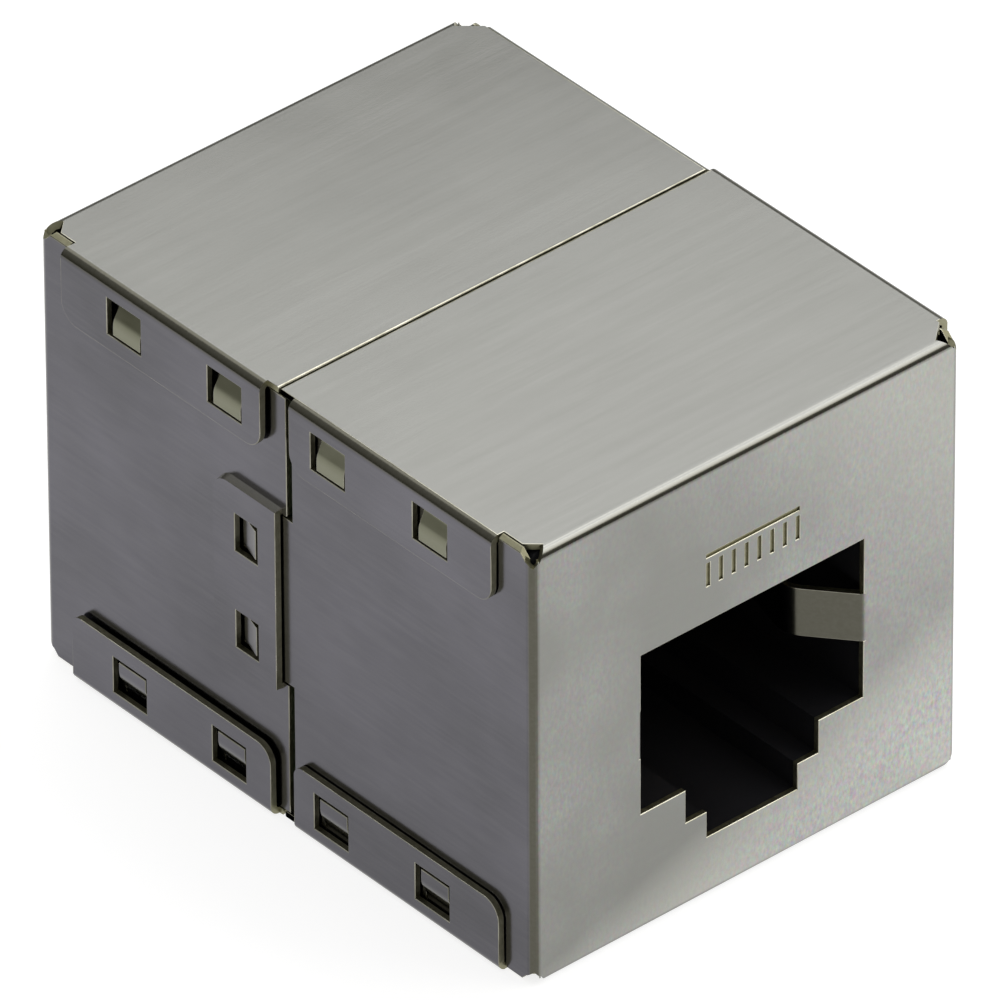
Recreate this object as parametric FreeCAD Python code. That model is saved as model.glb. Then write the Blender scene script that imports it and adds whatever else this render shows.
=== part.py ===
import FreeCAD, Part
import math
import os

# A shielded inline coupler for two eight-way modular plugs.
# Two folded metal shells close on two plastic jack housings, with a small circuit board between
# the housings.  Sprung contact wires run from each socket to the board.
# Every half is drawn with its outer face on y = 0 and y growing inwards, and then put in place.
# The whole stands on z = 0, with x across, y along the plugs and the front face towards -y.

V = FreeCAD.Vector

# ---- shells: overall sizes ----
body_length = 30.2            # over the two outer faces
shell_width = 22.7            # over the side walls
shell_height = 21.3           # over the top and bottom flaps
sheet = 0.3                   # thickness of the plated sheet
bend_radius = 0.45            # outside radius where the face folds into walls and flaps
edge_gap = 0.06               # between a wall's cut edge and the flap that covers it
flap_seam = 0.12              # gap between the two shells at the flaps
flap_seam_shift = 0.2         # how far that gap stands behind the middle
wall_seam = 0.34              # gap between the two shells at the side walls
wall_seam_shift = 0.32        # how much shorter a shell's left wall is, and its right wall longer
relief_flap = 1.28            # corner relief: from the face to where it leaves the flap's side
relief_set_in_flap = 1.0      # the same, on a flap that is set in beside an ear
relief_across = 0.94          # from the side, where it meets the flap's fold
relief_face = 0.36            # from the side, where it leaves that fold
relief_low = 0.68             # lowest point, on the middle of the wall's fold
relief_wall = 0.42            # from the flap's outer face, where it meets the flat wall
relief_ear = 0.86             # from the face, where it leaves the wall's ear
ear_sink = 0.02               # how far an ear stays below the flap's outer face
ear_edge = 0.14               # from the flap's outer face to the outer edge of an ear's slanting top
ear_slant = 0.22              # run of that slant across the wall
ear_gap = 0.04                # between an ear and the flap's free edge
ear_slot = 0.06               # between an ear and the tab
short_ear = 0.98              # where an ear ends under a flap that isn't set in

# ---- side tabs of the top and bottom flaps ----
tab_reach = 3.35              # from the flap's outer face to the tab's cut edge
tab_bend_radius = 0.42        # outside radius of the fold into a tab
front_left_gap = 0.05         # between tab and wall: front shell, its left as seen from outside
front_right_gap = 0.26
rear_left_gap = 0.03
rear_right_gap = 0.15
tab_root = 0.6                # how far a tab's section reaches in over its flap

# ---- windows in the tabs, and the lances of the wall that snap into them ----
window_centres = (5.8, 12.0)  # distances from the outer face
window_width = 2.1
window_height = 1.8
window_edge = 0.8             # from the flap's outer face to the window
lance_side_gap = 0.21         # between window and lance at each side
lance_shift = 0.16            # how far the walls' lances stand off centre, with the wall seam
lance_tip_gap = 0.12          # between the lance's free edge and the window's edge
lance_slit = 0.07             # cut round a lance
lance_first_bend = 0.25       # from the window's upper edge, where a lance leaves the wall
lance_first_radius = 0.7
lance_second_bend = 1.0       # where it turns back beside the tab
lance_second_radius = 1.0

# ---- raised pad on the right wall, and the tongue of the other shell beneath it ----
pad_start = 11.0              # from the outer face to the pad's near edge
pad_low = 6.4
pad_high = 15.45
pad_slope = 0.12              # run of the pad's drawn edges
pad_wall = 0.22               # thickness of the sheet in those edges
pad_corner = 0.9
pad_set_back = 0.3            # how far the pad's open edge stands behind the wall's
tongue_gap = 0.08             # between tongue and pad, at the flat and at each edge
pad_window_centres = (8.25, 13.05)
pad_window_width = 1.4
pad_window_height = 1.85
pad_window_centre = 13.15     # from the outer face

# ---- port in the face ----
port_centre = 0.28            # right of the middle, as seen from outside
port_half_width = 5.95
port_top = 13.75
port_floor = 5.87
first_step_half_width = 3.56
first_step_floor = 4.25
second_step_half_width = 2.43
second_step_floor = 2.98

# ---- earthing springs folded in from the port's sides ----
spring_low = 8.65
spring_high = 11.0
spring_root = 0.17            # from the port's edge out to where the fold starts
spring_fold_radius = 0.38     # outside radius of that fold
spring_lean = 40.0            # degrees between the leaning stretch and the plug's way in
spring_lean_length = 2.4
spring_crest_radius = 1.2
spring_return = 15.0          # degrees, the other way, after the crest
spring_return_length = 2.2

# ---- coined mark above the port: eight short strokes under a bar ----
mark_strokes = 8
mark_pitch = 0.68
mark_line = 0.2
mark_stroke_height = 1.15
mark_bottom = 15.45
mark_bar_gap = 0.25
mark_depth = 0.1

# ---- jack housings ----
housing_gap = 0.1             # between housing and sheet
housing_chamfer = 0.3
housing_corner = 0.5
cavity_gap = 0.08             # how much wider the cavity is than the port in the face
cavity_depth = 12.9           # from the outer face
spring_relief = 1.1           # depth of the recess behind each earthing spring
spring_relief_margin = 0.35
pocket_wall = 1.3             # wall left round each moulding pocket
pocket_front = 2.0            # wall left between a pocket and the face
peg_radius = 0.7
peg_inset = 2.2               # from the housing's side and floor to a peg's axis
peg_gap = 0.05

# ---- contacts, their carrier and the board ----
contact_count = 8
contact_pitch = 1.02
wire_width = 0.45
wire_thickness = 0.3
wire_run_height = 1.25        # middle of the upper run, above the port's top
wire_turn_radius = 0.6        # to the middle of the wire
wire_turn_start = 3.3         # from the outer face to the turn's centre
wire_slope = 24.0             # degrees below level
wire_free_length = 7.0
wire_foot_radius = 0.4
wire_foot_height = 1.2
foot_gap = 0.3                # above the wires' feet
chamber_nose_gap = 0.3        # in front of and above the wires' turn
chamber_ledge = 0.4           # ledge under each side of the carrier
carrier_wall = 0.7            # plastic beside the outermost wires
carrier_cover = 1.05          # plastic above the wires
carrier_gap = 0.08            # between carrier and housing
carrier_start = 4.3
carrier_end_gap = 1.3         # from the carrier's end to the board
channel_gap = 0.02            # between a wire and its channel
board_thickness = 1.0
board_corner = 1.2
board_gap = 0.2               # between the board's edge and the walls

# ---- worked out from the sizes above ----
half_length = body_length / 2
half_width = shell_width / 2
front_flap_depth = half_length - flap_seam / 2 + flap_seam_shift
rear_flap_depth = half_length - flap_seam / 2 - flap_seam_shift
left_wall_depth = half_length - wall_seam / 2 - wall_seam_shift
right_wall_depth = half_length - wall_seam / 2 + wall_seam_shift
wall_low = sheet + edge_gap
wall_high = shell_height - sheet - edge_gap
pad_lift = tongue_gap + sheet
board_face = half_length - board_thickness / 2
flap_set_in = sheet + ear_gap
inner_half_width = half_width - sheet - housing_gap
housing_low = sheet + housing_gap
housing_high = shell_height - sheet - housing_gap
wire_z = port_top + wire_run_height
wire_half = wire_thickness / 2
row_half = (contact_count - 1) * contact_pitch / 2 + wire_width / 2


def box(x, y, z):
    """A block between the two limits given for each axis."""
    return Part.makeBox(x[1] - x[0], y[1] - y[0], z[1] - z[0], V(x[0], y[0], z[0]))


def rounded_outline(corners):
    """A closed wire through (point, radius) corners, with an arc at each corner that has a radius."""
    edges = []
    ends = []
    for i, (point, radius) in enumerate(corners):
        before = corners[i - 1][0]
        after = corners[(i + 1) % len(corners)][0]
        back = (before - point).normalize()
        ahead = (after - point).normalize()
        if radius <= 0:
            ends.append((point, point, None))
            continue
        half_angle = back.getAngle(ahead) / 2
        tangent = radius / math.tan(half_angle)
        bisector = (back + ahead).normalize()
        middle = point + bisector * (radius / math.sin(half_angle) - radius)
        ends.append((point + back * tangent, point + ahead * tangent, middle))
    for i, (start, end, middle) in enumerate(ends):
        if middle is not None:
            edges.append(Part.Arc(start, middle, end).toShape())
        following = ends[(i + 1) % len(ends)][0]
        if end.distanceToPoint(following) > 1e-6:
            edges.append(Part.LineSegment(end, following).toShape())
    return Part.Wire(edges)


def prism(corners, direction):
    """The rounded outline of the corners, drawn out along a vector."""
    return Part.Face(rounded_outline(corners)).extrude(direction)


def mirrored(shape):
    """The shape on the other side of the middle plane x = 0."""
    return shape.mirror(V(0, 0, 0), V(1, 0, 0))


def upended(shape):
    """The shape turned upside down about the body's middle height."""
    return shape.mirror(V(0, 0, shell_height / 2), V(0, 0, 1))


# ---------------------------------------------------------------- shells

def face_and_walls():
    """Face plate folded back into two side walls: a U seen from above."""
    inner = bend_radius - sheet
    left = left_wall_depth
    right = right_wall_depth
    outline = [
        (V(-half_width, left, wall_low), 0),
        (V(-half_width, 0, wall_low), bend_radius),
        (V(half_width, 0, wall_low), bend_radius),
        (V(half_width, right, wall_low), 0),
        (V(half_width - sheet, right, wall_low), 0),
        (V(half_width - sheet, sheet, wall_low), inner),
        (V(sheet - half_width, sheet, wall_low), inner),
        (V(sheet - half_width, left, wall_low), 0),
    ]
    return prism(outline, V(0, 0, wall_high - wall_low))


def face_and_flaps(flap_depth):
    """The same face plate folded back into top and bottom flaps: a U seen from the side."""
    inner = bend_radius - sheet
    top = shell_height
    outline = [
        (V(-half_width, flap_depth, 0), 0),
        (V(-half_width, 0, 0), bend_radius),
        (V(-half_width, 0, top), bend_radius),
        (V(-half_width, flap_depth, top), 0),
        (V(-half_width, flap_depth, top - sheet), 0),
        (V(-half_width, sheet, top - sheet), inner),
        (V(-half_width, sheet, sheet), inner),
        (V(-half_width, flap_depth, sheet), 0),
    ]
    return prism(outline, V(shell_width, 0, 0))


def corner_place(name):
    """Which corner a tab belongs to: -1 or 1 across, and -1 or 1 up."""
    return (-1 if "left" in name else 1), (1 if "upper" in name else -1)


def corner_relief(side, up, tab_start, long_ear):
    """What opens one corner: the cuts through the flaps, and those through the walls."""
    level = shell_height if up > 0 else 0
    half_fold = bend_radius / 2
    half_sheet = sheet / 2

    def cut(corners, inward):
        depth = V(-side * inward[0], inward[1], -up * inward[2])
        outline = [V(side * (half_width - a), b, level - up * c) - depth * 2 for a, b, c in corners]
        return Part.Face(Part.makePolygon(outline + outline[:1])).extrude(depth * 3)

    flap_end = [(-sheet, relief_flap, 0), (0, relief_flap, 0)]
    set_in_end = [
        (-sheet, tab_start, 0),
        (flap_set_in, tab_start, 0),
        (flap_set_in, relief_set_in_flap, 0),
    ]
    flap = (set_in_end if long_ear else flap_end) + [
        (relief_across, bend_radius, 0),
        (-sheet, bend_radius, 0),
    ]
    flap_fold = [
        (-sheet, bend_radius, 0),
        (relief_across, bend_radius, 0),
        (relief_face, 0, bend_radius),
        (-sheet, 0, bend_radius),
    ]
    face_end = [
        (relief_face, bend_radius, 0),
        (relief_across, bend_radius, 0),
        (relief_face, 0, bend_radius),
    ]
    wall_fold = [
        (0, bend_radius, -sheet),
        (0, bend_radius, relief_wall),
        (half_fold, half_fold, relief_low),
        (relief_face, bend_radius - relief_face, bend_radius),
        (relief_face, bend_radius - relief_face, -sheet),
    ]
    ear = [
        (0, bend_radius, -sheet),
        (0, bend_radius, relief_wall),
        (0, relief_ear, 0),
        (0, relief_ear, -sheet),
    ]
    corner = cut(wall_fold, (half_sheet, half_sheet, 0))
    in_flaps = [cut(flap, (0, 0, sheet)), cut(flap_fold, (0, half_sheet, half_sheet)), corner]
    in_walls = [cut(face_end, (0, half_sheet, half_sheet)), cut(ear, (sheet, 0, 0)), corner]
    return in_flaps, in_walls


def wall_ear(side, up, end):
    """A stretch of wall beside a corner, raised to the flap, with a slanting top."""
    level = shell_height if up > 0 else 0

    def point(across, depth):
        return V(side * (half_width - across), bend_radius, level - up * depth)

    section = [
        (point(0, relief_low), 0),
        (point(0, ear_edge), 0),
        (point(ear_slant, ear_sink), 0),
        (point(sheet, ear_sink), 0),
        (point(sheet, relief_low), 0),
    ]
    return prism(section, V(0, end - bend_radius, 0))


def folded_box(flap_depth, tabs):
    """Walls and flaps on one face plate, all four edges rounded by their folds, corners open."""
    plan = prism([
        (V(-half_width, flap_depth, 0), 0),
        (V(-half_width, 0, 0), bend_radius),
        (V(half_width, 0, 0), bend_radius),
        (V(half_width, flap_depth, 0), 0),
    ], V(0, 0, shell_height))
    side_view = prism([
        (V(-half_width, body_length, 0), 0),
        (V(-half_width, 0, 0), bend_radius),
        (V(-half_width, 0, shell_height), bend_radius),
        (V(-half_width, body_length, shell_height), 0),
    ], V(shell_width, 0, 0))
    walls = face_and_walls().common(side_view)
    flaps = face_and_flaps(flap_depth).common(plan)
    for name, (tab_start, *_, long_ear) in tabs.items():
        side, up = corner_place(name)
        walls = walls.fuse(wall_ear(side, up, tab_start - ear_slot if long_ear else short_ear))
        in_flaps, in_walls = corner_relief(side, up, tab_start, long_ear)
        for cut in in_flaps:
            flaps = flaps.cut(cut)
        for cut in in_walls:
            walls = walls.cut(cut)
    return walls.fuse(flaps)


def left_tab(gap, start, end, start_corner, end_corner):
    """A top flap's left tab: out over the wall, folded down, with rounded lower corners."""
    outer = -(half_width + gap + sheet)
    inner = outer + sheet
    top = shell_height
    low = top - tab_reach
    root = -half_width + tab_root
    section = [
        (V(root, start, top), 0),
        (V(outer, start, top), tab_bend_radius),
        (V(outer, start, low), 0),
        (V(inner, start, low), 0),
        (V(inner, start, top - sheet), tab_bend_radius - sheet),
        (V(root, start, top - sheet), 0),
    ]
    strip = prism(section, V(0, end - start, 0))
    profile = [
        (V(outer, start, top), 0),
        (V(outer, start, low), start_corner),
        (V(outer, end, low), end_corner),
        (V(outer, end, top), 0),
    ]
    tab = strip.common(prism(profile, V(root - outer, 0, 0)))
    for centre in window_centres:
        span = (centre - window_width / 2, centre + window_width / 2)
        rise = (top - window_edge - window_height, top - window_edge)
        tab = tab.cut(box((outer, inner), span, rise))
    return tab


def left_lance(centre, gap):
    """A strip of the left wall pushed out into a tab's window, its free edge downwards."""
    half = window_width / 2 - lance_side_gap
    root = shell_height - window_edge
    tip = root - window_height + lance_tip_gap
    push = gap + sheet
    face = -half_width
    first = root - lance_first_bend
    second = root - lance_second_bend
    section = [
        (V(face, centre - half, root), 0),
        (V(face, centre - half, first), lance_first_radius),
        (V(face - push, centre - half, second), lance_second_radius),
        (V(face - push, centre - half, tip), 0),
        (V(face - push + sheet, centre - half, tip), 0),
        (V(face - push + sheet, centre - half, second), lance_second_radius),
        (V(face + sheet, centre - half, first), lance_first_radius),
        (V(face + sheet, centre - half, root), 0),
    ]
    return prism(section, V(0, 2 * half, 0))


def left_lance_hole(centre):
    """What the lance leaves open in the wall, with its slit."""
    half = window_width / 2 - lance_side_gap + lance_slit
    root = shell_height - window_edge
    low = root - window_height + lance_tip_gap - lance_slit
    face = -half_width
    return box((face, face + sheet), (centre - half, centre + half), (low, root))


def pad_layer(sink, margin):
    """Solid under the pad's surface: a block with three drawn edges, open at the seam."""
    def ring(x, inset):
        low = pad_low + inset
        high = pad_high - inset
        near = pad_start + inset
        return rounded_outline([
            (V(x, right_wall_depth + sheet, low), 0),
            (V(x, near, low), pad_corner),
            (V(x, near, high), pad_corner),
            (V(x, right_wall_depth + sheet, high), 0),
        ])
    base = half_width - sheet - sink
    rings = [ring(base, margin), ring(base + pad_lift + sheet, margin + pad_slope)]
    return Part.makeLoft(rings, True, True)


def with_pad(body):
    """The right wall drawn outwards into the pad, with its two windows."""
    drawn = body.fuse(pad_layer(0, 0)).cut(pad_layer(sheet, pad_wall))
    beyond = half_width + pad_lift + sheet
    height = (pad_low - sheet, pad_high + sheet)
    mouth = (right_wall_depth - pad_set_back, right_wall_depth + 2 * sheet)
    drawn = drawn.cut(box((half_width, beyond), mouth, height))
    past_wall = (right_wall_depth, right_wall_depth + 2 * sheet)
    drawn = drawn.cut(box((half_width - 2 * sheet, beyond), past_wall, height))
    near = pad_window_centre - pad_window_width / 2
    for level in pad_window_centres:
        low = level - pad_window_height / 2
        drawn = drawn.cut(box((half_width, beyond), (near, near + pad_window_width),
                              (low, low + pad_window_height)))
    return drawn


def tongue_limits():
    """Where the tongue ends, and its lower and upper edges."""
    inset = pad_wall + pad_slope + tongue_gap
    return body_length - pad_start - inset, pad_low + inset, pad_high - inset


def barb(level):
    """A strip of the tongue pushed out into a pad window, its free edge towards the seam."""
    half = pad_window_height / 2 - lance_side_gap
    far_edge = body_length - pad_window_centre + pad_window_width / 2 - lance_tip_gap
    near_edge = far_edge - pad_window_width + 2 * lance_tip_gap
    face = -half_width
    push = pad_lift
    section = [
        (V(face, far_edge, level - half), 0),
        (V(face - push, near_edge, level - half), 0),
        (V(face - push + sheet, near_edge, level - half), 0),
        (V(face + sheet, far_edge, level - half), 0),
    ]
    return prism(section, V(0, 0, 2 * half))


def barb_hole(level):
    half = pad_window_height / 2 - lance_side_gap + lance_slit
    far_edge = body_length - pad_window_centre + pad_window_width / 2 - lance_tip_gap
    near_edge = far_edge - pad_window_width + 2 * lance_tip_gap - lance_slit
    return box((-half_width, sheet - half_width), (near_edge, far_edge), (level - half, level + half))


def with_tongue(body):
    """The left wall's tongue, which reaches past the seam and under the other shell's pad."""
    end, low, high = tongue_limits()
    start = left_wall_depth - sheet
    face = -half_width
    outline = [
        (V(face, start, low), 0),
        (V(face, end, low), pad_corner),
        (V(face, end, high), pad_corner),
        (V(face, start, high), 0),
    ]
    body = body.fuse(prism(outline, V(sheet, 0, 0)))
    for level in pad_window_centres:
        body = body.cut(barb_hole(level))
        body = body.fuse(barb(level))
    return body


def port_outline(y, grow):
    """The stepped opening, at a distance from the face, grown by a gap all round."""
    c = port_centre
    wide = port_half_width + grow
    middle = first_step_half_width + grow
    narrow = second_step_half_width + grow
    top = port_top + grow
    levels = [port_floor - grow, first_step_floor - grow, second_step_floor - grow]
    right = [(wide, top), (wide, levels[0]), (middle, levels[0]), (middle, levels[1]),
             (narrow, levels[1]), (narrow, levels[2])]
    left = [(-x, z) for x, z in reversed(right)]
    return [(V(c + x, y, z), 0) for x, z in right + left]


def earthing_spring():
    """The spring at the port's right side: folded off the face, leaning in, then back at a crest."""
    half = sheet / 2
    lean = math.radians(spring_lean)
    back = math.radians(spring_return)
    fold = spring_fold_radius - half
    start = V(port_centre + port_half_width + spring_root, half, spring_low)
    fold_centre = start + V(0, fold, 0)
    crest = spring_crest_radius

    def on_fold(angle):
        return fold_centre + V(-math.sin(angle), -math.cos(angle), 0) * fold

    fold_angle = math.pi / 2 - lean
    fold_end = on_fold(fold_angle)
    crest_start = fold_end + V(-math.sin(lean), math.cos(lean), 0) * spring_lean_length
    crest_centre = crest_start + V(math.cos(lean), math.sin(lean), 0) * crest

    def on_crest(angle):
        return crest_centre + V(-math.cos(angle), -math.sin(angle), 0) * crest

    crest_end = on_crest(-back)
    tip = crest_end + V(math.sin(back), math.cos(back), 0) * spring_return_length
    path = Part.Wire([
        Part.Arc(start, on_fold(fold_angle / 2), fold_end).toShape(),
        Part.LineSegment(fold_end, crest_start).toShape(),
        Part.Arc(crest_start, on_crest((lean - back) / 2), crest_end).toShape(),
        Part.LineSegment(crest_end, tip).toShape(),
    ])
    rise = V(0, 0, spring_high - spring_low)
    across = V(0, half, 0)
    section = Part.makePolygon([start - across, start + across, start + across + rise,
                                start - across + rise, start - across])
    return path.makePipeShell([section], True, True)


def about_port(shape):
    """The shape on the other side of the port's middle plane."""
    return shape.mirror(V(port_centre, 0, 0), V(1, 0, 0))


def with_port(body):
    """The stepped port cut in the face, with an earthing spring at each side."""
    body = body.cut(prism(port_outline(-sheet, 0), V(0, 3 * sheet, 0)))
    edge = port_centre + port_half_width
    slot = box((edge - sheet, edge + spring_root), (-sheet, 2 * sheet), (spring_low, spring_high))
    spring = earthing_spring()
    for place in (lambda s: s, about_port):
        body = body.cut(place(slot))
        body = body.fuse(place(spring))
    return body


def coined_mark():
    """Eight upright strokes under a bar, as deep as they are coined into the face."""
    span = (mark_strokes - 1) * mark_pitch
    depth = (-sheet, mark_depth)
    strokes_top = mark_bottom + mark_stroke_height
    cuts = []
    for i in range(mark_strokes):
        x = port_centre - span / 2 + i * mark_pitch
        cuts.append(box((x - mark_line / 2, x + mark_line / 2), depth, (mark_bottom, strokes_top)))
    bar = (port_centre - (span + mark_line) / 2, port_centre + (span + mark_line) / 2)
    bar_low = strokes_top + mark_bar_gap
    cuts.append(box(bar, depth, (bar_low, bar_low + mark_line)))
    return cuts


# Each tab: from, to, radius of the corner near the face, radius of the corner near the seam, and
# whether the wall's ear runs on to the tab beside a flap that is set in.
front_tabs = {
    "upper left": (2.1, 14.36, 0.85, 0.9, True),
    "lower left": (1.75, 14.29, 0.9, 0.55, True),
    "upper right": (1.42, front_flap_depth, 0.9, 0.9, False),
    "lower right": (2.2, 14.59, 0.55, 0.85, True),
}
rear_tabs = {
    "upper left": (1.42, rear_flap_depth, 0.85, 0.9, False),
    "lower left": (1.75, 14.29, 0.9, 0.55, True),
    "upper right": (1.9, 14.19, 0.95, 0.9, True),
    "lower right": (2.2, 14.59, 0.55, 0.85, True),
}


def shell(flap_depth, tabs, left_gap, right_gap):
    """One folded shell, drawn at the front."""
    body = folded_box(flap_depth, tabs)
    for name, (start, end, start_corner, end_corner, _) in tabs.items():
        gap = left_gap if "left" in name else right_gap
        shift = -lance_shift if "left" in name else lance_shift
        places = [mirrored] if "right" in name else []
        places += [upended] if "lower" in name else []
        parts = [left_tab(gap, start, end, start_corner, end_corner)]
        holes = []
        for centre in window_centres:
            holes.append(left_lance_hole(centre + shift))
            parts.append(left_lance(centre + shift, gap))
        for place in places:
            parts = [place(p) for p in parts]
            holes = [place(h) for h in holes]
        for hole in holes:
            body = body.cut(hole)
        for part in parts:
            body = body.fuse(part)
    body = with_tongue(with_pad(with_port(body)))
    for cut in coined_mark():
        body = body.cut(cut)
    return body.removeSplitter()


# ---------------------------------------------------------------- housings

def spring_recess():
    """Room behind the right earthing spring, so that a plug can push it aside."""
    edge = port_centre + port_half_width
    depth = spring_fold_radius + spring_lean_length + spring_crest_radius + spring_return_length
    return box((edge - cavity_gap, edge + spring_relief), (0, depth),
               (spring_low - spring_relief_margin, spring_high + spring_relief_margin))


def moulding_pocket(side):
    """A pocket beside the cavity, open at the back, that keeps the walls even."""
    inner = port_centre * side + port_half_width + spring_relief + pocket_wall
    outer = inner_half_width - pocket_wall
    x = sorted((side * inner, side * outer))
    low = housing_low + 2 * peg_inset
    return box(x, (pocket_front, board_face), (low, housing_high - pocket_wall))


def contact_chamber():
    """The space over the cavity for the wires' turns, their runs, the carrier and the feet."""
    c = port_centre
    turn_front = wire_turn_start - wire_turn_radius - wire_half - chamber_nose_gap
    turn_top = wire_z + wire_half + chamber_nose_gap
    run_half = row_half + carrier_wall - chamber_ledge
    carrier_half = row_half + carrier_wall + carrier_gap
    ledge = wire_z - wire_half - carrier_gap
    top = wire_z + wire_half + carrier_cover + carrier_gap
    carrier_front = carrier_start - carrier_gap
    nose = box((c - run_half, c + run_half), (turn_front, carrier_start), (port_top, turn_top))
    runs = box((c - run_half, c + run_half), (turn_front, cavity_depth), (port_top, ledge))
    seat = box((c - carrier_half, c + carrier_half), (carrier_front, board_face), (ledge, top))
    feet_top = wire_z + wire_foot_radius + wire_foot_height + foot_gap
    feet = box((c - carrier_half, c + carrier_half), (board_face - carrier_end_gap, board_face),
               (ledge, feet_top))
    return nose.fuse(runs).fuse(seat).fuse(feet)


def peg(side):
    x = side * (inner_half_width - peg_inset)
    length = board_thickness / 2 - peg_gap
    return Part.makeCylinder(peg_radius, length, V(x, board_face, housing_low + peg_inset), V(0, 1, 0))


def housing_ring(y, inset):
    """The housing's outline at a distance from the face, drawn in by the chamfer."""
    half = inner_half_width - inset
    low = housing_low + inset
    high = housing_high - inset
    corners = [V(-half, y, low), V(half, y, low), V(half, y, high), V(-half, y, high)]
    return rounded_outline([(p, housing_corner) for p in corners])


def jack_housing():
    """Moulded housing: plug cavity, contact chamber, spring recesses, pockets and two pegs."""
    front = sheet + housing_gap / 2
    shoulder = front + housing_chamfer
    body = Part.Face(housing_ring(shoulder, 0)).extrude(V(0, board_face - shoulder, 0))
    rings = [housing_ring(front, housing_chamfer), housing_ring(shoulder, 0)]
    body = body.fuse(Part.makeLoft(rings, True, True))
    body = body.cut(prism(port_outline(0, cavity_gap), V(0, cavity_depth, 0)))
    recess = spring_recess()
    body = body.cut(recess).cut(about_port(recess))
    body = body.cut(contact_chamber())
    for side in (-1, 1):
        body = body.cut(moulding_pocket(side))
        body = body.fuse(peg(side))
    return body.removeSplitter()


# ---------------------------------------------------------------- contacts, carrier, board

def contact_x(index):
    return port_centre + (index - (contact_count - 1) / 2) * contact_pitch


def contact_wire(index):
    """A sprung wire: foot on the board, run under the carrier, turn, and free end in the cavity."""
    x = contact_x(index) - wire_width / 2
    foot_y = board_face - wire_half
    foot_top = wire_z + wire_foot_radius + wire_foot_height
    foot_low = V(x, foot_y, wire_z + wire_foot_radius)
    foot_centre = V(x, foot_y - wire_foot_radius, wire_z + wire_foot_radius)
    diagonal = math.sqrt(0.5) * wire_foot_radius
    run_start = V(x, foot_y - wire_foot_radius, wire_z)
    run_end = V(x, wire_turn_start, wire_z)
    pivot = V(x, wire_turn_start, wire_z - wire_turn_radius)
    slope = math.radians(wire_slope)
    sweep = math.pi - slope
    def on_turn(angle):
        return pivot + V(0, -math.sin(angle), math.cos(angle)) * wire_turn_radius
    turn_end = on_turn(sweep)
    tip = turn_end + V(0, math.cos(slope), -math.sin(slope)) * wire_free_length
    path = Part.Wire([
        Part.LineSegment(V(x, foot_y, foot_top), foot_low).toShape(),
        Part.Arc(foot_low, foot_centre + V(0, diagonal, -diagonal), run_start).toShape(),
        Part.LineSegment(run_start, run_end).toShape(),
        Part.Arc(run_end, on_turn(sweep / 2), turn_end).toShape(),
        Part.LineSegment(turn_end, tip).toShape(),
    ])
    section = Part.makePolygon([
        V(x, foot_y - wire_half, foot_top),
        V(x, foot_y + wire_half, foot_top),
        V(x + wire_width, foot_y + wire_half, foot_top),
        V(x + wire_width, foot_y - wire_half, foot_top),
        V(x, foot_y - wire_half, foot_top),
    ])
    return path.makePipeShell([section], True, True)


def contact_carrier():
    """Moulded block over the wires' runs, with a channel for each wire."""
    half = row_half + carrier_wall
    low = wire_z - wire_half
    end = board_face - carrier_end_gap
    body = box((port_centre - half, port_centre + half), (carrier_start, end),
               (low, wire_z + wire_half + carrier_cover))
    for index in range(contact_count):
        x = contact_x(index)
        reach = wire_width / 2 + channel_gap
        body = body.cut(box((x - reach, x + reach), (carrier_start, end),
                            (low, wire_z + wire_half + channel_gap)))
    return body


def circuit_board():
    """Board across the middle, with a hole for each housing's pegs."""
    half = half_width - sheet - board_gap
    low = sheet + board_gap
    high = shell_height - sheet - board_gap
    front = -board_thickness / 2
    corners = [V(-half, front, low), V(half, front, low), V(half, front, high), V(-half, front, high)]
    board = prism([(p, board_corner) for p in corners], V(0, board_thickness, 0))
    for side in (-1, 1):
        x = side * (inner_half_width - peg_inset)
        start = V(x, front, housing_low + peg_inset)
        board = board.cut(Part.makeCylinder(peg_radius + peg_gap, board_thickness, start, V(0, 1, 0)))
    return board


# ---------------------------------------------------------------- placing and writing

def at_front(shape):
    """Own frame to the front half."""
    placed = shape.copy()
    placed.translate(V(0, -half_length, 0))
    return placed


def at_rear(shape):
    """Own frame to the rear half, turned half round."""
    placed = shape.copy()
    placed.rotate(V(0, 0, 0), V(0, 0, 1), 180)
    placed.translate(V(0, half_length, 0))
    return placed


def build_nodes():
    nodes = {
        "front_shell": at_front(shell(front_flap_depth, front_tabs, front_left_gap, front_right_gap)),
        "rear_shell": at_rear(shell(rear_flap_depth, rear_tabs, rear_left_gap, rear_right_gap)),
        "circuit_board": circuit_board(),
    }
    housing = jack_housing()
    carrier = contact_carrier()
    for half, place in (("front", at_front), ("rear", at_rear)):
        nodes[half + "_jack_housing"] = place(housing)
        nodes[half + "_contact_carrier"] = place(carrier)
        for index in range(contact_count):
            nodes[half + "_contact_" + str(index + 1)] = place(contact_wire(index))
    return nodes


os.makedirs("parts", exist_ok=True)
for name, shape in build_nodes().items():
    shape.exportStep("parts/" + name + ".step")
    print(name, len(shape.Solids), shape.isValid(), round(shape.Volume, 3))
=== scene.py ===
# A shielded inline coupler: two plated shells over black jack housings, gilt contact wires and a green
# board.
# The shells' cut edges are worn and carry a painted highlight; their walls and folds carry painted
# shade.
import bmesh
import bpy
import math
from mathutils import Matrix, Vector


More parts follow.
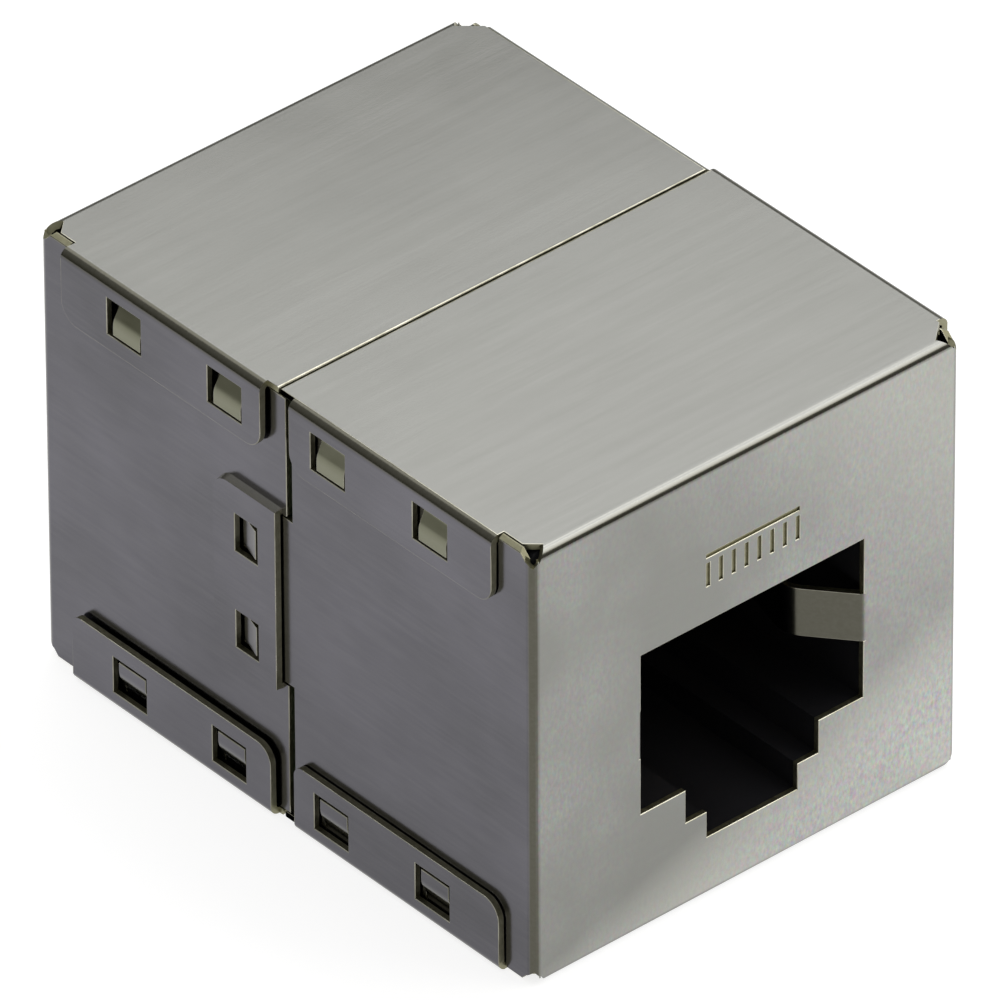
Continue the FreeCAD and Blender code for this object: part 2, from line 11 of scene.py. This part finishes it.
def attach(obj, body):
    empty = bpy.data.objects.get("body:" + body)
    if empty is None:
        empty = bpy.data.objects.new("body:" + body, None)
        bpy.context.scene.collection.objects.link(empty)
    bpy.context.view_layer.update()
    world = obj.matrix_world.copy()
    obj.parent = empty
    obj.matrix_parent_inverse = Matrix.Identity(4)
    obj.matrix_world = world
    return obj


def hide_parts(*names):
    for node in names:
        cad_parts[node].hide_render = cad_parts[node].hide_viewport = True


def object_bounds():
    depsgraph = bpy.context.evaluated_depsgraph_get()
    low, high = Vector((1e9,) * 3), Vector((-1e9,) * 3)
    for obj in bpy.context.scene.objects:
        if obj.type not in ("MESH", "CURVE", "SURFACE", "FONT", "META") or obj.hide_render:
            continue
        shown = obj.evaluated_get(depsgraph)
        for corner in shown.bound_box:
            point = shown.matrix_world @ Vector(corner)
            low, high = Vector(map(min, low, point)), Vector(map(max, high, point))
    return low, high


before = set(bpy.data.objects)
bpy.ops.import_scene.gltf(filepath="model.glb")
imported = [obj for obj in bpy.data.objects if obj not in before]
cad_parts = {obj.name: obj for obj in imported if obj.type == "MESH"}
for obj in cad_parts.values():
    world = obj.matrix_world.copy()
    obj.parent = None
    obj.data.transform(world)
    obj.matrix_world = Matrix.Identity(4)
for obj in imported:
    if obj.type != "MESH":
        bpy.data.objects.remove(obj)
cad_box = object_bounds()

MM = 0.001

# ---- the camera, measured from the middle of the body ----
camera_azimuth = -40.904       # degrees
camera_elevation = 36.089
camera_roll = -0.276
camera_distance = 870.05 * MM
camera_lens = 776.64           # on a 36 mm sensor
aim_right = 0.042 * MM         # from the body's middle to the middle of the view
aim_up = -0.186 * MM

# ---- the sheet and its edges ----
widest_cut = 0.33 * MM         # a cut face is no wider than this, on sheet of 0.3 mm
merge_distance = 0.001 * MM
flat_angle = math.radians(0.2)
smooth_angle = math.radians(28)
sharp_angle = math.radians(60)
seam_burr = 0.07 * MM          # how far the flaps' edges at the seam are broken
burr = 0.03 * MM               # how far the other cut edges are broken
burr_steps = 2
shortest_broken = 0.12 * MM    # shorter edges stay as they are
seam_reach = 0.45 * MM         # the flaps' seam lies this near the middle

# ---- the upper tabs' windows, with the walls' lances in them ----
half_length = 15.1 * MM        # from the seam to either face
inner_wall = 11.0 * MM         # the walls lie beyond this, from the middle
window_centres = (5.8 * MM, 12.0 * MM)    # from the nearer face
window_middle = 19.6 * MM      # above the floor
window_half_width = 1.04 * MM
window_half_height = 0.91 * MM

# ---- the floor and the lamps ----
floor_radius = 0.9             # metres, as the lamps' distances and sizes
floor_sides = 96
floor_albedo = 0.40
floor_glow = 0.80              # to the camera and in reflections
horizon_height = 0.05          # along the sky's ramp, 0 level and 1 straight up
overhead_height = 0.85
warm_white = (1.0, 0.98, 0.92)
cool_white = (0.90, 0.88, 1.0)
neutral_white = (1, 1, 1)
lamps = [                      # name, azimuth, elevation, distance, width, height, radiance, colour
    ("top_panel", 150, 55, 0.30, 0.28, 0.208, 1.42, neutral_white),
    ("rim_panel", 127, 9, 0.45, 0.20, 0.14, 0.6, neutral_white),
    ("ridge_panel", 88, 62, 0.40, 0.20, 0.24, 1.9, neutral_white),
    ("right_panel", 44, 46, 0.40, 0.20, 0.22, 2.0, warm_white),
    ("left_panel", -110, 30, 0.45, 0.24, 0.24, 0.2, cool_white),
]


# ---------------------------------------------------------------- nodes

class Shader:
    """A material's node tree, with a short way to add nodes and join them."""

    def __init__(self, name):
        self.material = bpy.data.materials.new(name)
        self.material.use_nodes = True
        self.tree = self.material.node_tree
        self.tree.nodes.clear()
        self.output = self.tree.nodes.new("ShaderNodeOutputMaterial")

    def node(self, kind, settings=None, **inputs):
        made = self.tree.nodes.new("ShaderNode" + kind)
        for key, value in (settings or {}).items():
            setattr(made, key, value)
        for key, value in inputs.items():
            self.feed(made.inputs[key.replace("_", " ")], value)
        return made

    def feed(self, socket, value):
        if isinstance(value, bpy.types.NodeSocket):
            self.tree.links.new(value, socket)
        else:
            socket.default_value = value

    def math(self, operation, first, second=0.0, clamp=False):
        made = self.node("Math", {"operation": operation, "use_clamp": clamp})
        self.feed(made.inputs[0], first)
        self.feed(made.inputs[1], second)
        return made.outputs[0]

    def remap(self, value, low, high, to_low=0.0, to_high=1.0):
        made = self.node("MapRange", {"clamp": True}, Value=value)
        ends = {"From Min": low, "From Max": high, "To Min": to_low, "To Max": to_high}
        for key, number in ends.items():
            made.inputs[key].default_value = number
        return made.outputs[0]

    def mix(self, factor, first, second):
        made = self.node("Mix", {"data_type": "RGBA"})
        self.feed(made.inputs[0], factor)
        self.feed(made.inputs[6], first)
        self.feed(made.inputs[7], second)
        return made.outputs[2]

    def place(self, scale):
        """The piece's own coordinates, scaled along each axis."""
        where = self.node("TexCoord").outputs["Object"]
        return self.node("Mapping", Vector=where, Scale=scale).outputs[0]

    def noise(self, scale, detail=2.0, roughness=0.5, stretch=(1, 1, 1)):
        return self.node("TexNoise", Vector=self.place(stretch), Scale=scale, Detail=detail,
                         Roughness=roughness).outputs["Fac"]

    def bump(self, height, strength, distance, normal=None):
        made = self.node("Bump", Height=height, Strength=strength, Distance=distance)
        if normal is not None:
            self.feed(made.inputs["Normal"], normal)
        return made.outputs[0]

    def finish(self, surface):
        self.tree.links.new(surface, self.output.inputs["Surface"])
        return self.material


def rgb(red, green, blue):
    return (red, green, blue, 1.0)


# ---------------------------------------------------------------- finishes

def fold_mask(s, sideways, endways, upwards):
    """Where folds get painted shade: all of a flap's side fold, and an end fold past its brightest
    part.
    """
    squarest = s.math("MAXIMUM", s.math("MAXIMUM", sideways, endways), upwards)
    round_folds = s.remap(squarest, 0.90, 0.997, 1.0, 0.0)
    side_folds = s.math("MULTIPLY", s.remap(sideways, 0.02, 0.17), s.remap(upwards, 0.2, 0.5))
    past_bright = s.remap(upwards, 0.62, 0.78, 1.0, 0.0)
    end_folds = s.math("MULTIPLY", past_bright, s.remap(endways, 0.2, 0.4))
    other_folds = s.remap(endways, 0.2, 0.4, 1.0, 0.0)
    shaded_folds = s.math("MULTIPLY", round_folds, s.math("MAXIMUM", end_folds, other_folds))
    return s.math("MAXIMUM", shaded_folds, side_folds)


def drawn_mask(s, height, rise):
    """Where upward slopes get a painted highlight: those between the flaps, the pads' upper edges and
    the lances' roots.
    """
    off_middle = s.math("ABSOLUTE", s.math("SUBTRACT", height, body_middle().z))
    between_flaps = s.remap(off_middle, 9.4 * MM, 9.9 * MM, 1.0, 0.0)
    return s.math("MULTIPLY", between_flaps, s.remap(rise, 0.06, 0.25))


def sheet_finish():
    """Satin plating: rolled grain, patches of sparkle, clouds and a slight waviness; walls painted
    darker and bluer and folds painted dark as shade, upward slopes painted as highlights, and parts of
    the ends painted lighter as light.
    """
    s = Shader("plated_sheet_satin_painted_light")

    # which way the surface faces, and where it is
    parts = s.node("SeparateXYZ", Vector=s.node("TexCoord").outputs["Normal"]).outputs
    sideways = s.math("ABSOLUTE", parts[0])
    endways = s.math("ABSOLUTE", parts[1])
    upwards = s.math("ABSOLUTE", parts[2])
    rise = parts[2]
    across, _, height = s.node("SeparateXYZ", Vector=s.node("TexCoord").outputs["Object"]).outputs
    walls = s.remap(sideways, 0.80, 0.97)
    ends = s.remap(endways, 0.80, 0.97)

    # patterns
    grain_mix = s.node("Mix", {"data_type": "FLOAT"})
    s.feed(grain_mix.inputs[0], walls)
    s.feed(grain_mix.inputs[2], s.noise(7000, 3, 0.6, (0.06, 1, 1)))
    s.feed(grain_mix.inputs[3], s.noise(7000, 3, 0.6, (1, 0.05, 1)))
    grain = grain_mix.outputs[0]
    brushing = s.noise(1500, 3, 0.6, (0.05, 1, 1))
    clouds = s.noise(120, 4, 0.6, (1, 0.6, 1))
    cloudy = s.remap(clouds, 0.3, 0.7)
    patches = s.noise(75, 3, 0.55)
    waves = s.noise(60, 2, 0.45)
    specks = s.node("TexNoise", Vector=s.place((1, 1, 0.55)), Scale=6500.0, Detail=2.0, Roughness=0.6)

    # the ends' painted light: lighter along the bottom, and in one upper corner
    below = s.math("SUBTRACT", s.math("MULTIPLY", across, 0.35), height)
    lit_low_band = s.remap(below, -4.6 * MM, 0 * MM)
    lit_upper_corner = s.remap(s.math("ADD", across, height), 19 * MM, 28 * MM, 0.0, 0.5)
    painted_light_areas = s.math("MAXIMUM", lit_low_band, lit_upper_corner)

    # tones of the flaps, the walls (painted shade), the ends (painted light in places), the folds
    # (painted shade) and the drawn slopes (painted highlight)
    flap_clouds = s.mix(cloudy, rgb(0.234, 0.235, 0.220), rgb(0.262, 0.263, 0.247))
    flap_tone = s.mix(s.remap(brushing, 0.35, 0.7, 0.0, 0.16), flap_clouds, rgb(0.34, 0.34, 0.33))
    # the walls are painted darker and bluer than the flaps, as shade; the clouds in them vary at
    # random
    wall_shade_tone = s.mix(cloudy, rgb(0.086, 0.084, 0.093), rgb(0.130, 0.126, 0.144))
    plain_end = s.mix(s.remap(patches, 0.42, 0.66), rgb(0.232, 0.234, 0.216), rgb(0.275, 0.277, 0.254))
    # the ends are painted much lighter in those areas, as light
    end_tone = s.mix(painted_light_areas, plain_end, rgb(0.530, 0.530, 0.475))
    flat_tone = s.mix(ends, s.mix(walls, flap_tone, wall_shade_tone), end_tone)
    folds = fold_mask(s, sideways, endways, upwards)
    # the folds are painted a dark olive, as shade
    fold_shaded_tone = s.mix(folds, flat_tone, rgb(0.092, 0.089, 0.070))
    # upward slopes are painted lighter as a highlight, the lightest where they face most nearly up
    slope_highlight_tone = s.mix(s.remap(rise, 0.70, 0.90), rgb(0.300, 0.293, 0.235), rgb(0.62, 0.61, 0.54))
    tone = s.mix(drawn_mask(s, height, rise), fold_shaded_tone, slope_highlight_tone)
    streaked = s.mix(s.remap(grain, 0.35, 0.75, 0.0, 0.045), tone, rgb(0.40, 0.40, 0.38))

    # coloured specks, stronger where the ends have painted light
    specks_in_lit_areas = s.math("MULTIPLY", painted_light_areas, s.remap(patches, 0.30, 0.60, 0.15, 0.75))
    sparkle = s.math("MAXIMUM", s.remap(patches, 0.42, 0.62, 0.03, 0.30), specks_in_lit_areas)
    strength = s.math("MULTIPLY", sparkle, ends)
    speck_tint = s.node("HueSaturation", Color=specks.outputs["Color"], Saturation=0.8, Value=0.72)
    speckled = s.mix(strength, streaked, speck_tint.outputs[0])

    # gloss and relief
    grain_rough = s.remap(grain, 0.3, 0.7, 0.15, 0.20)
    rough = s.math("ADD", grain_rough, s.remap(clouds, 0.3, 0.7, 0.0, 0.05))
    wavy = s.bump(waves, 0.10, 0.6 * MM)
    grained = s.bump(grain, 0.04, 0.015 * MM, wavy)
    sparkling = s.bump(specks.outputs["Fac"], s.math("ADD", strength, 0.06), 0.012 * MM, grained)
    shader = s.node("BsdfPrincipled", Metallic=1.0, Base_Color=speckled, Roughness=rough,
                    Normal=sparkling)
    return s.finish(shader.outputs[0])


def lance_finish():
    """The lances' plating: a yellowish tone, lighter than the walls around them, painted as a
    reflection of something bright and olive.
    """
    s = Shader("plated_sheet_lance_sheen")
    lance_mottle = s.noise(700, 3, 0.6, (1, 0.4, 1))
    # the yellowish, lighter tone is a painted reflection; the mottle in it varies at random
    tone = s.mix(s.remap(lance_mottle, 0.3, 0.7), rgb(0.165, 0.167, 0.118), rgb(0.205, 0.205, 0.152))
    rough = s.remap(lance_mottle, 0.3, 0.7, 0.30, 0.42)
    bumped = s.bump(lance_mottle, 0.10, 0.02 * MM)
    shader = s.node("BsdfPrincipled", Metallic=1.0, Base_Color=tone, Roughness=rough, Normal=bumped)
    return s.finish(shader.outputs[0])


def cut_edge_finish():
    """Sheared edge: the steel core shows through, olive and dull, with marks across its thickness."""
    s = Shader("plated_sheet_cut_edge")
    shear = s.noise(5000, 2, 0.6)
    tone = s.mix(s.remap(shear, 0.3, 0.7), rgb(0.24, 0.23, 0.15), rgb(0.31, 0.30, 0.205))
    rough = s.remap(shear, 0.3, 0.7, 0.36, 0.48)
    bumped = s.bump(shear, 0.08, 0.01 * MM)
    shader = s.node("BsdfPrincipled", Metallic=1.0, Base_Color=tone, Roughness=rough, Normal=bumped)
    return s.finish(shader.outputs[0])


def worn_edge_finish():
    """Broken edge of the sheet: rubbed bright in places, partly wear and partly a painted highlight,
    and painted darker on the walls as shade.
    """
    s = Shader("plated_sheet_worn_edge_highlight")
    wear = s.noise(900, 3, 0.6)
    wear_and_highlight = s.mix(s.remap(wear, 0.35, 0.65), rgb(0.34, 0.33, 0.25), rgb(0.62, 0.60, 0.50))
    wall_edge_shade = s.mix(s.remap(wear, 0.35, 0.65), rgb(0.170, 0.165, 0.135), rgb(0.260, 0.250, 0.205))
    parts = s.node("SeparateXYZ", Vector=s.node("TexCoord").outputs["Normal"])
    sideways = s.math("ABSOLUTE", parts.outputs[0])
    # edges that face sideways get the darker tone: painted shade on the walls
    tone = s.mix(s.remap(sideways, 0.35, 0.6), wear_and_highlight, wall_edge_shade)
    rough = s.remap(wear, 0.3, 0.7, 0.18, 0.30)
    bumped = s.bump(wear, 0.15, 0.01 * MM)
    shader = s.node("BsdfPrincipled", Metallic=1.0, Base_Color=tone, Roughness=rough, Normal=bumped)
    return s.finish(shader.outputs[0])


def moulding_finish():
    """Black moulded plastic with a fine spark-eroded grain."""
    s = Shader("black_moulding_grained")
    grain = s.noise(5200, 3, 0.6)
    flow = s.noise(240, 2, 0.5, (1, 0.3, 1))
    tone = s.mix(s.remap(flow, 0.35, 0.65), rgb(0.009, 0.009, 0.011), rgb(0.014, 0.014, 0.017))
    rough = s.remap(grain, 0.3, 0.7, 0.30, 0.46)
    bumped = s.bump(grain, 0.25, 0.015 * MM)
    shader = s.node("BsdfPrincipled", Base_Color=tone, Roughness=rough, Normal=bumped)
    return s.finish(shader.outputs[0])


def wire_finish():
    """Thin gold plate on drawn wire, with drawing lines along it."""
    s = Shader("gold_wire_drawn")
    lines = s.noise(16000, 2, 0.6, (1, 0.06, 0.2))
    tone = s.mix(s.remap(lines, 0.3, 0.7), rgb(0.80, 0.56, 0.20), rgb(0.93, 0.72, 0.33))
    rough = s.remap(lines, 0.3, 0.7, 0.18, 0.30)
    bumped = s.bump(lines, 0.15, 0.01 * MM)
    shader = s.node("BsdfPrincipled", Metallic=1.0, Base_Color=tone, Roughness=rough, Normal=bumped)
    return s.finish(shader.outputs[0])


def laminate_finish():
    """Green solder mask over a woven glass laminate."""
    s = Shader("board_laminate_green")
    weave_x = s.node("TexWave", {"bands_direction": "X"}, Vector=s.place((1, 1, 1)), Scale=520.0,
                     Distortion=0.6).outputs["Fac"]
    weave_z = s.node("TexWave", {"bands_direction": "Z"}, Vector=s.place((1, 1, 1)), Scale=520.0,
                     Distortion=0.6).outputs["Fac"]
    weave = s.math("MULTIPLY", weave_x, weave_z)
    tone = s.mix(weave, rgb(0.012, 0.070, 0.030), rgb(0.022, 0.110, 0.048))
    bumped = s.bump(weave, 0.2, 0.02 * MM)
    shader = s.node("BsdfPrincipled", Base_Color=tone, Roughness=0.32, Normal=bumped)
    return s.finish(shader.outputs[0])


# ---------------------------------------------------------------- shells

PLATED, CUT, WORN_HIGHLIT, LANCE_SHEEN = range(4)     # the shells' finishes, in the order of their slots


def connected_regions(mesh):
    """Groups of faces that run into each other without a sharp edge."""
    seen = set()
    regions = []
    for first in mesh.faces:
        if first in seen:
            continue
        seen.add(first)
        region = [first]
        for face in region:
            for edge in face.edges:
                if edge.calc_face_angle(0) > smooth_angle:
                    continue
                for other in edge.link_faces:
                    if other not in seen:
                        seen.add(other)
                        region.append(other)
        regions.append(region)
    return regions


def is_cut(region):
    """True for the narrow band that a cut leaves along the sheet's thickness."""
    area = sum(face.calc_area() for face in region)
    inside = set(region)
    border = sum(edge.calc_length() for face in region for edge in face.edges
                 if any(other not in inside for other in edge.link_faces))
    return 2 * area / border < widest_cut


def is_lance(face):
    """True for a face inside one of the windows that the upper tabs have for the walls' lances."""
    def in_window(point):
        from_face = half_length - abs(point.y)
        beside = any(abs(from_face - centre) < window_half_width for centre in window_centres)
        level = abs(point.z - window_middle) < window_half_height
        return beside and level and abs(point.x) > inner_wall

    return all(in_window(vert.co) for vert in face.verts)


def at_seam(edge):
    """True for an edge of a top or bottom flap that runs along the gap between the shells."""
    first, second = (vert.co for vert in edge.verts)
    return abs(first.y) < seam_reach and abs(first.y - second.y) < merge_distance \
        and abs(first.x - second.x) > seam_reach


def break_edges(mesh, offset, chosen):
    """Breaks the chosen outer edges where the surface meets a cut, and marks the new faces."""
    worn = []
    for edge in mesh.edges:
        faces = edge.link_faces
        if len(faces) != 2 or {face.material_index for face in faces} != {PLATED, CUT}:
            continue
        if not edge.is_convex or edge.calc_face_angle(0) < sharp_angle:
            continue
        if edge.calc_length() > shortest_broken and chosen(edge):
            worn.append(edge)
    made = bmesh.ops.bevel(mesh, geom=worn, offset=offset, offset_type="OFFSET", affect="EDGES",
                           segments=burr_steps, profile=0.5, clamp_overlap=False, material=-1)
    for face in made["faces"]:
        face.material_index = WORN_HIGHLIT
        face.smooth = True


def corner_normals(mesh):
    """A normal for each face corner: smooth over blunt edges, and led by the largest face there."""
    weight = {face: face.calc_area() ** 2 for face in mesh.faces}
    normals = []
    for face in mesh.faces:
        for corner in face.loops:
            around = [face]
            for near in around:
                for edge in near.edges:
                    if edge.smooth and corner.vert in edge.verts:
                        around.extend(other for other in edge.link_faces if other not in around)
            total = sum((near.normal * weight[near] for near in around), Vector())
            normals.append(total.normalized())
    return normals


def dressed_shell(node, name, finishes):
    """A shell's own surface, merged, with its cut faces marked and its sharp edges broken."""
    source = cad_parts[node]
    mesh = bmesh.new()
    mesh.from_mesh(source.data)
    bmesh.ops.remove_doubles(mesh, verts=mesh.verts, dist=merge_distance)
    bmesh.ops.dissolve_limit(mesh, angle_limit=flat_angle, verts=mesh.verts, edges=mesh.edges)
    for face in mesh.faces:
        face.smooth = True
        face.material_index = PLATED
    for region in connected_regions(mesh):
        if is_cut(region):
            for face in region:
                face.material_index = CUT
    break_edges(mesh, seam_burr, at_seam)
    break_edges(mesh, burr, lambda edge: not at_seam(edge))
    for face in mesh.faces:
        if face.material_index == PLATED and is_lance(face):
            face.material_index = LANCE_SHEEN
    for edge in mesh.edges:
        edge.smooth = edge.calc_face_angle(0) <= smooth_angle
    mesh.normal_update()
    normals = corner_normals(mesh)
    data = bpy.data.meshes.new(name)
    mesh.to_mesh(data)
    mesh.free()
    data.normals_split_custom_set(normals)
    piece = bpy.data.objects.new(name, data)
    bpy.context.scene.collection.objects.link(piece)
    for finish in finishes:
        data.materials.append(finish)
    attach(piece, "root")
    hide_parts(node)


# ---------------------------------------------------------------- stage

def finish_node(node, finish):
    """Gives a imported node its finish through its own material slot."""
    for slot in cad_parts[node].material_slots:
        slot.material = finish


def direction(azimuth, elevation):
    """Unit vector towards a place on the sky; azimuth 0 is towards -Y and 90 towards +X."""
    a = math.radians(azimuth)
    e = math.radians(elevation)
    return Vector((math.sin(a) * math.cos(e), -math.cos(a) * math.cos(e), math.sin(e)))


def body_middle():
    low, high = cad_box
    return Vector((0, 0, (low.z + high.z) / 2))


def camera():
    back = direction(camera_azimuth, camera_elevation)
    roll = Matrix.Rotation(math.radians(camera_roll), 3, "Z")
    turn = (-back).to_track_quat("-Z", "Y").to_matrix() @ roll
    aim = body_middle() + turn @ Vector((aim_right, aim_up, 0))
    data = bpy.data.cameras.new("camera")
    data.lens = camera_lens
    data.sensor_width = 36
    data.clip_start = 0.05
    data.clip_end = 20
    made = bpy.data.objects.new("camera", data)
    made.matrix_world = Matrix.Translation(aim + back * camera_distance) @ turn.to_4x4()
    bpy.context.scene.collection.objects.link(made)
    bpy.context.scene.camera = made


def panel(name, azimuth, elevation, distance, width, height, radiance, colour):
    """A soft rectangular lamp that looks at the body."""
    data = bpy.data.lights.new(name, "AREA")
    data.shape = "RECTANGLE"
    data.size = width
    data.size_y = height
    data.energy = radiance * math.pi * width * height
    data.color = colour
    made = bpy.data.objects.new(name, data)
    towards = direction(azimuth, elevation)
    made.location = body_middle() + towards * distance
    made.rotation_mode = "QUATERNION"
    made.rotation_quaternion = towards.to_track_quat("Z", "Y")
    made.visible_camera = False
    bpy.context.scene.collection.objects.link(made)


def floor():
    mesh = bmesh.new()
    bmesh.ops.create_circle(mesh, cap_ends=True, segments=floor_sides, radius=floor_radius)
    data = bpy.data.meshes.new("floor")
    mesh.to_mesh(data)
    mesh.free()
    made = bpy.data.objects.new("floor", data)
    bpy.context.scene.collection.objects.link(made)
    s = Shader("pale_floor")
    paths = s.node("LightPath").outputs
    seen = s.math("ADD", paths["Is Camera Ray"], paths["Is Glossy Ray"], clamp=True)
    seen = s.math("ADD", seen, paths["Is Transmission Ray"], clamp=True)
    card = s.node("BsdfDiffuse", Color=rgb(floor_albedo, floor_albedo, floor_albedo))
    glow = s.node("Emission", Color=rgb(1, 1, 1), Strength=s.math("MULTIPLY", seen, floor_glow))
    both = s.node("AddShader")
    s.feed(both.inputs[0], card.outputs[0])
    s.feed(both.inputs[1], glow.outputs[0])
    data.materials.append(s.finish(both.outputs[0]))


def surroundings():
    """Dim at the horizon and pale overhead."""
    world = bpy.data.worlds.new("studio")
    world.use_nodes = True
    tree = world.node_tree
    tree.nodes.clear()
    where = tree.nodes.new("ShaderNodeTexCoord")
    parts = tree.nodes.new("ShaderNodeSeparateXYZ")
    ramp = tree.nodes.new("ShaderNodeValToRGB")
    light = tree.nodes.new("ShaderNodeBackground")
    output = tree.nodes.new("ShaderNodeOutputWorld")
    tree.links.new(where.outputs["Generated"], parts.inputs[0])
    tree.links.new(parts.outputs[2], ramp.inputs[0])
    tree.links.new(ramp.outputs[0], light.inputs[0])
    tree.links.new(light.outputs[0], output.inputs[0])
    horizon, overhead = ramp.color_ramp.elements
    horizon.position = horizon_height
    horizon.color = rgb(0.16, 0.155, 0.12)
    overhead.position = overhead_height
    overhead.color = rgb(0.62, 0.62, 0.62)
    bpy.context.scene.world = world


# ---------------------------------------------------------------- making

shell_finishes = [sheet_finish(), cut_edge_finish(), worn_edge_finish(), lance_finish()]
for half in ("front", "rear"):
    dressed_shell(half + "_shell", half + "_shell_plated", shell_finishes)

moulding = moulding_finish()
wire = wire_finish()
for half in ("front", "rear"):
    finish_node(half + "_jack_housing", moulding)
    finish_node(half + "_contact_carrier", moulding)
    for number in range(1, 9):
        finish_node(half + "_contact_" + str(number), wire)
finish_node("circuit_board", laminate_finish())

camera()
floor()
surroundings()
for lamp in lamps:
    panel(*lamp)

bpy.context.scene.view_settings.view_transform = "Standard"
